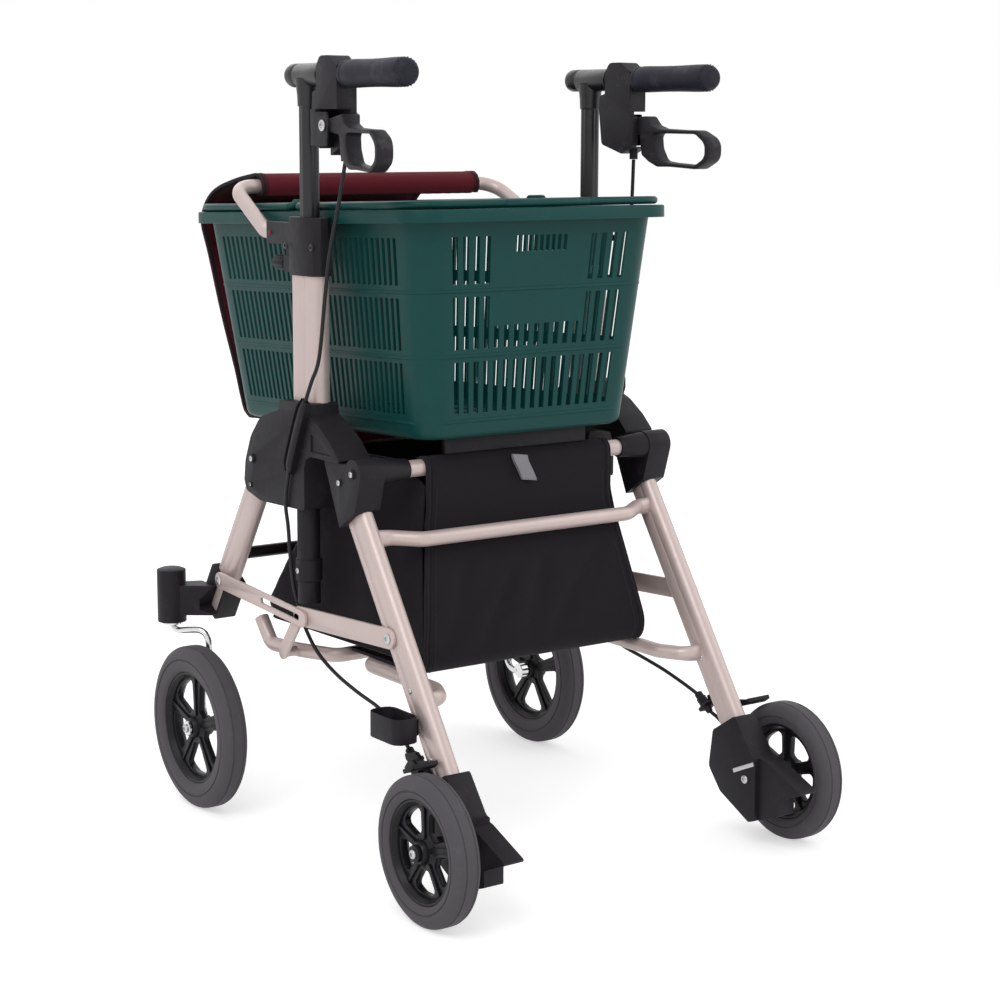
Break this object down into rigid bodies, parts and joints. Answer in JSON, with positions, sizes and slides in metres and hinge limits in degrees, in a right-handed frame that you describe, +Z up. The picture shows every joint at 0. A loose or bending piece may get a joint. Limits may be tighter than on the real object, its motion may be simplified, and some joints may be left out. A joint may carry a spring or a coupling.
{
  "type": "shopping rollator",
  "caption": "Folding four-wheeled walking frame with a lift-out basket held in a cloth sling, a bag below it, swivelling front wheels and lever brakes.",
  "frame": {"origin": "on the ground under the middle of the whole object", "axes": "+X to the user's right, +Y forward, +Z up"},
  "size_m": [0.544, 0.741, 0.8995],
  "materials": {
    "silver": "satin anodised, warm silver",
    "black": "moulded, matte",
    "painted": "black powder coat",
    "tyre": "dark grey tread",
    "chrome": "polished",
    "green": "dark green moulding",
    "burgundy": "woven cloth",
    "nylon": "black nylon",
    "grey": "grey webbing"
  },
  "bodies": {
    "main": {"left_bracket": "black", "left_leg_socket": "black", "left_outer_post": "silver", "left_guide_tube": "black", "left_rear_leg": "silver", "left_collar": "black", "left_wheel_foot": "black", "left_brake_cable": "black", "right_bracket": "black", "right_leg_socket": "black", "right_outer_post": "silver", "right_guide_tube": "black", "right_rear_leg": "silver", "right_collar": "black", "right_wheel_foot": "black", "right_brake_cable": "black", "rear_cross_tube": "silver", "base_tube": "silver", "rear_seat_bar": "silver", "front_seat_bar": "silver", "guard_tube": "silver", "guard_sleeve": "black", "basket_sling": "burgundy", "bag_base": "nylon", "bag_skirt": "nylon", "pull_tab": "grey", "cane_cup": "black"},
    "front_frame": {"left_front_leg": "silver", "right_front_leg": "silver", "front_cross_bar": "painted", "left_caster_housing": "black", "right_caster_housing": "black"},
    "rear_link": {"rear_link_frame": "silver"},
    "basket": {"basket": "green", "front_bail": "green"},
    "rear_bail": {"rear_bail": "green"},
    "left_knob": {"left_height_knob": "black"},
    "left_handle": {"left_handle_post": "painted", "left_grip": "black", "left_brake_housing": "black"},
    "left_lever": {"left_brake_lever": "black"},
    "left_brake": {"left_brake_arm": "black"},
    "left_front_link": {"left_front_link": "silver"},
    "left_caster": {"left_caster_fork": "chrome"},
    "left_front_wheel": {"left_front_tyre": "tyre", "left_front_rim": "black"},
    "left_rear_wheel": {"left_rear_tyre": "tyre", "left_rear_rim": "black"},
    "right_knob": {"right_height_knob": "black"},
    "right_handle": {"right_handle_post": "painted", "right_grip": "black", "right_brake_housing": "black"},
    "right_lever": {"right_brake_lever": "black"},
    "right_brake": {"right_brake_arm": "black"},
    "right_front_link": {"right_front_link": "silver"},
    "right_caster": {"right_caster_fork": "chrome"},
    "right_front_wheel": {"right_front_tyre": "tyre", "right_front_rim": "black"},
    "right_rear_wheel": {"right_rear_tyre": "tyre", "right_rear_rim": "black"}
  },
  "joints": [
    {"name": "fold", "type": "hinge", "parent": "main", "child": "front_frame", "pos_m": [0, 0.1279, 0.4395], "axis": [1, 0, 0], "range_deg": [-25, 0], "deforming": ["bag_skirt"]},
    {"name": "rear_link_turn", "type": "hinge", "parent": "main", "child": "rear_link", "pos_m": [0, -0.1511, 0.276], "axis": [1, 0, 0], "range_deg": [-30, 0]},
    {"name": "basket_lift_out", "type": "slide", "parent": "main", "child": "basket", "axis": [0, -0.9993, 0.0372], "range_m": [0, 0.6]},
    {"name": "rear_bail_turn", "type": "hinge", "parent": "basket", "child": "rear_bail", "pos_m": [0, 0.09526, 0.73269], "axis": [-1, 0, 0], "range_deg": [0, 90]},
    {"name": "left_front_link_turn", "type": "hinge", "parent": "front_frame", "child": "left_front_link", "pos_m": [-0.2171, 0.2219, 0.277], "axis": [1, 0, 0], "range_deg": [0, 51.25]},
    {"name": "left_caster_swivel", "type": "hinge", "parent": "front_frame", "child": "left_caster", "pos_m": [-0.254, 0.2835, 0.2195], "axis": [0, 0, 1], "continuous": true},
    {"name": "left_front_wheel_spin", "type": "hinge", "parent": "left_caster", "child": "left_front_wheel", "pos_m": [-0.254, 0.2171, 0.0996], "axis": [1, 0, 0], "continuous": true},
    {"name": "left_rear_wheel_spin", "type": "hinge", "parent": "main", "child": "left_rear_wheel", "pos_m": [-0.254, -0.2853, 0.081], "axis": [1, 0, 0], "continuous": true},
    {"name": "left_height", "type": "slide", "parent": "main", "child": "left_handle", "axis": [0, 0, 1], "range_m": [-0.06, 0.04], "deforming": ["left_brake_cable"]},
    {"name": "left_knob_turn", "type": "hinge", "parent": "main", "child": "left_knob", "pos_m": [-0.1985, 0.0859, 0.6695], "axis": [0, 1, 0], "range_deg": [-180, 0]},
    {"name": "left_lever_squeeze", "type": "hinge", "parent": "left_handle", "child": "left_lever", "pos_m": [-0.2072, -0.03283, 0.8245], "axis": [-0.9993, 0.0366, 0], "range_deg": [0, 16], "stiffness_Nm_per_rad": 3, "springref_deg": -11.46},
    {"name": "left_brake_turn", "type": "hinge", "parent": "main", "child": "left_brake", "pos_m": [-0.2195, -0.2121, 0.15], "axis": [1, 0, 0], "range_deg": [0, 3.6]},
    {"name": "right_front_link_turn", "type": "hinge", "parent": "front_frame", "child": "right_front_link", "pos_m": [0.2171, 0.2219, 0.277], "axis": [1, 0, 0], "range_deg": [0, 51.25]},
    {"name": "right_caster_swivel", "type": "hinge", "parent": "front_frame", "child": "right_caster", "pos_m": [0.254, 0.2835, 0.2195], "axis": [0, 0, 1], "continuous": true},
    {"name": "right_front_wheel_spin", "type": "hinge", "parent": "right_caster", "child": "right_front_wheel", "pos_m": [0.254, 0.2171, 0.0996], "axis": [1, 0, 0], "continuous": true},
    {"name": "right_rear_wheel_spin", "type": "hinge", "parent": "main", "child": "right_rear_wheel", "pos_m": [0.254, -0.2853, 0.081], "axis": [1, 0, 0], "continuous": true},
    {"name": "right_height", "type": "slide", "parent": "main", "child": "right_handle", "axis": [0, 0, 1], "range_m": [-0.06, 0.04], "deforming": ["right_brake_cable"]},
    {"name": "right_knob_turn", "type": "hinge", "parent": "main", "child": "right_knob", "pos_m": [0.1985, 0.0859, 0.6695], "axis": [0, 1, 0], "range_deg": [-180, 0]},
    {"name": "right_lever_squeeze", "type": "hinge", "parent": "right_handle", "child": "right_lever", "pos_m": [0.2072, -0.03283, 0.8245], "axis": [-0.9993, -0.0366, 0], "range_deg": [0, 16], "stiffness_Nm_per_rad": 3, "springref_deg": -11.46},
    {"name": "right_brake_turn", "type": "hinge", "parent": "main", "child": "right_brake", "pos_m": [0.2195, -0.2121, 0.15], "axis": [1, 0, 0], "range_deg": [0, 3.6]}
  ],
  "couplings": [
    {"joint": "rear_link_turn", "follows": "fold", "ratio": 1.2},
    {"joint": "left_front_link_turn", "follows": "fold", "ratio": -2.05},
    {"joint": "left_brake_turn", "follows": "left_lever_squeeze", "ratio": 0.22},
    {"joint": "right_front_link_turn", "follows": "fold", "ratio": -2.05},
    {"joint": "right_brake_turn", "follows": "right_lever_squeeze", "ratio": 0.22}
  ]
}
